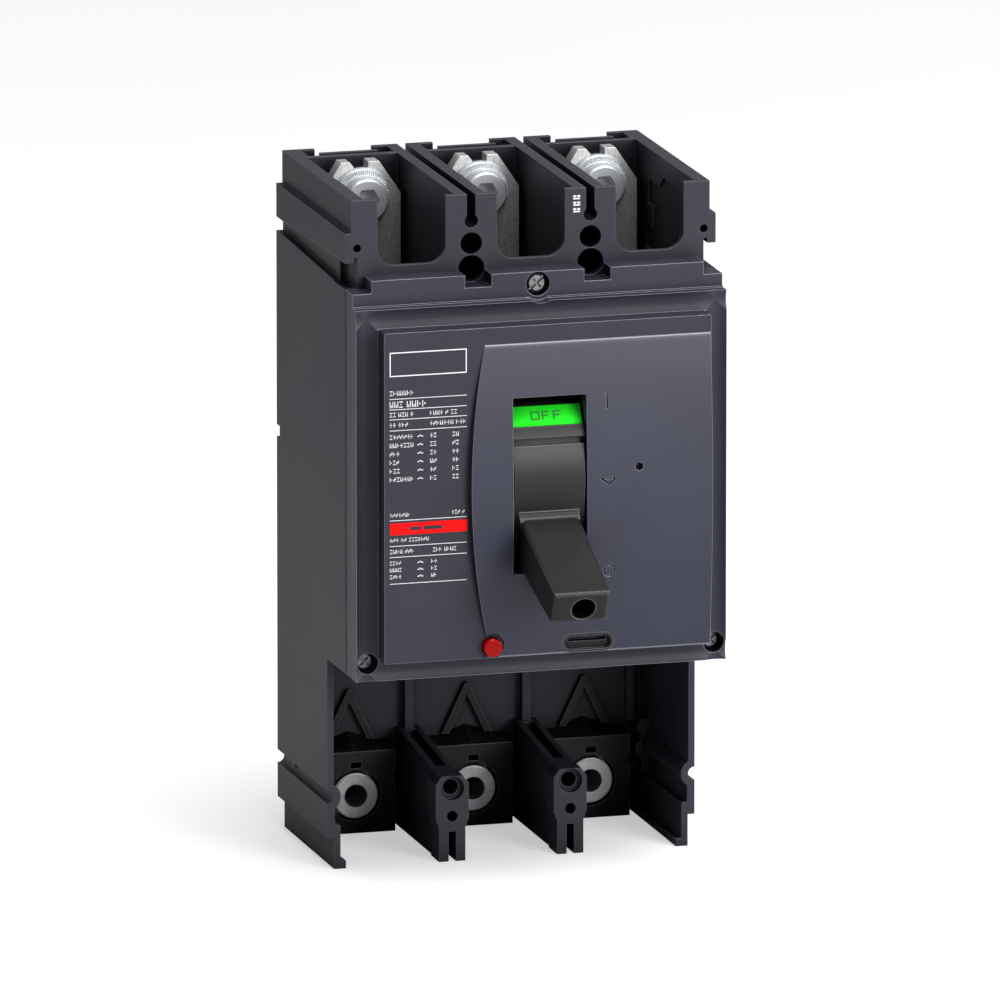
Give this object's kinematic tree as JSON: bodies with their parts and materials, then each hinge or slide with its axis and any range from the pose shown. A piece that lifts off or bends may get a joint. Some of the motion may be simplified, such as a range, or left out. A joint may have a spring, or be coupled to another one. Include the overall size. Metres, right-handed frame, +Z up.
{
  "type": "moulded-case circuit breaker",
  "caption": "Three-pole moulded-case circuit breaker frame with toggle handle, rotary contacts, bolted line terminals and an open trip unit bay",
  "frame": {"origin": "centre of the back mounting plane, midway between the four mounting holes", "axes": "+X right along the row of poles, +Y back into the mounting plate, +Z up along the case height; the front with the handle faces -Y"},
  "size_m": [0.14, 0.1637, 0.255],
  "materials": {
    "case_plastic": "satin moulded",
    "cover_plastic": "satin moulded",
    "panel_plastic": "fine matt",
    "handle_plastic": "satin moulded",
    "flag_green": "satin",
    "red_plastic": "satin",
    "print_white": "printed",
    "print_red": "printed",
    "print_green": "printed",
    "zinc_steel": "zinc plated",
    "tinned_copper": "tin plated",
    "copper": "bare copper",
    "silver": "contact alloy",
    "insulator": "glass filled",
    "rotor_plastic": "phenolic",
    "spring_steel": "oiled wire"
  },
  "bodies": {
    "base": {"rear_case": "case_plastic", "mid_frame": "case_plastic", "front_cover": "cover_plastic", "escutcheon": "panel_plastic", "aux_plug": "handle_plastic", "rating_print": "print_white", "rating_band": "print_red", "cover_screws": "zinc_steel", "top_screw": "zinc_steel", "line_conductors": "tinned_copper", "terminal_screws": "zinc_steel", "terminal_washers": "zinc_steel", "terminal_nuts": "zinc_steel", "load_conductors": "copper", "load_bushes": "tinned_copper", "load_blocks": "case_plastic", "pole_unit_left": "insulator", "pole_unit_centre": "insulator", "pole_unit_right": "insulator", "fixed_tips": "silver", "arc_plates_upper": "zinc_steel", "arc_plates_lower": "zinc_steel", "arc_cheeks": "insulator", "mech_frame": "zinc_steel", "mech_pins": "zinc_steel", "cradle": "zinc_steel", "cradle_pins": "zinc_steel", "button_spring": "spring_steel"},
    "handle_body": {"handle": "handle_plastic", "handle_shield": "handle_plastic", "position_flag": "flag_green", "flag_print": "print_green", "handle_yoke": "zinc_steel", "spring_pin": "zinc_steel"},
    "springs_body": {"main_springs": "spring_steel"},
    "knee_body": {"upper_links": "zinc_steel", "knee_pin": "zinc_steel"},
    "lower_link_body": {"lower_links": "zinc_steel"},
    "contact_body": {"rotor_left": "rotor_plastic", "rotor_centre": "rotor_plastic", "rotor_right": "rotor_plastic", "moving_contacts": "copper", "moving_tips": "silver", "contact_springs": "spring_steel", "drive_rods": "zinc_steel"},
    "trip_bar_body": {"trip_bar": "insulator"},
    "button_body": {"trip_button": "red_plastic"}
  },
  "joints": [
    {"name": "handle_turns", "type": "hinge", "parent": "base", "child": "handle_body", "pos_m": [0, -0.0716, 0.0238], "axis": [-1, 0, 0], "range_deg": [0, 45]},
    {"name": "springs_swing", "type": "hinge", "parent": "handle_body", "child": "springs_body", "pos_m": [0, -0.09553, 0.01364], "axis": [-1, 0, 0], "range_deg": [-34, 0]},
    {"name": "upper_links_turn", "type": "hinge", "parent": "base", "child": "knee_body", "pos_m": [0, -0.094, 0.002], "axis": [-1, 0, 0], "range_deg": [-34, 0]},
    {"name": "contacts_turn", "type": "hinge", "parent": "base", "child": "contact_body", "pos_m": [0, -0.036, 0.022], "axis": [-1, 0, 0], "range_deg": [0, 36]},
    {"name": "lower_links_turn", "type": "hinge", "parent": "contact_body", "child": "lower_link_body", "pos_m": [0, -0.045, 0.0327], "axis": [-1, 0, 0], "range_deg": [-16.5, 0]},
    {"name": "trip_button_pushes", "type": "slide", "parent": "base", "child": "button_body", "axis": [0, 1, 0], "range_m": [0, 0.003], "stiffness_N_per_m": 300, "springref_m": -0.0005},
    {"name": "trip_bar_turns", "type": "hinge", "parent": "base", "child": "trip_bar_body", "pos_m": [0, -0.088, -0.0275], "axis": [1, 0, 0], "range_deg": [0, 27.2]}
  ],
  "couplings": [
    {"joint": "springs_swing", "follows": "handle_turns", "ratio": -0.7482},
    {"joint": "upper_links_turn", "follows": "handle_turns", "ratio": -0.7511},
    {"joint": "contacts_turn", "follows": "handle_turns", "ratio": 0.8},
    {"joint": "lower_links_turn", "follows": "handle_turns", "ratio": -0.361},
    {"joint": "trip_bar_turns", "follows": "trip_button_pushes", "rad_per_m": 157.08}
  ]
}
